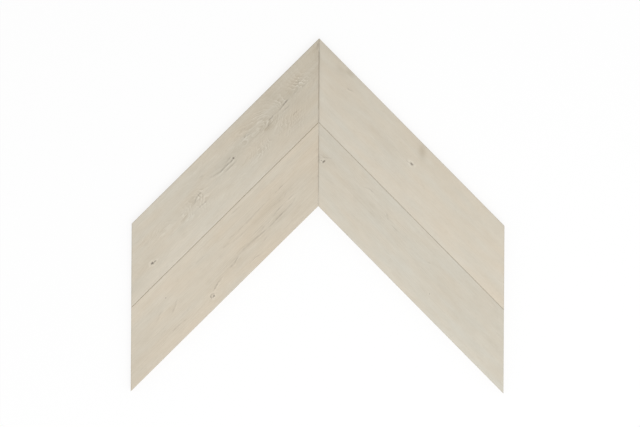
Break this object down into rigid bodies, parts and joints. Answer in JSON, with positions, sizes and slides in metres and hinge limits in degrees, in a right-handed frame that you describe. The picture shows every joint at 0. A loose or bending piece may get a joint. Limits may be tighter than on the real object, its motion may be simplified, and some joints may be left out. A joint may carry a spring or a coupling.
{
  "type": "chevron wall tile",
  "caption": "Flat V-shaped wall tile of pale oak planks mitred along its middle, with bevelled face edges, grooved sides and loose tongues in the seams, glued to a wall by its back",
  "frame": {"origin": "in the plane of the back, below the middle of the tile's bounding box", "axes": "+Z out of the face, +Y towards the point of the V, +X to the right seen from the face"},
  "size_m": [0.5656, 0.5374, 0.014],
  "materials": {
    "pale_oak": "matte",
    "birch_plywood": "matte"
  },
  "bodies": {
    "root": {"left_upper_plank": "pale_oak", "left_lower_plank": "pale_oak", "right_upper_plank": "pale_oak", "right_lower_plank": "pale_oak", "left_seam_tongue": "birch_plywood", "right_seam_tongue": "birch_plywood", "upper_mitre_tongue": "birch_plywood", "lower_mitre_tongue": "birch_plywood"}
  },
  "joints": []
}
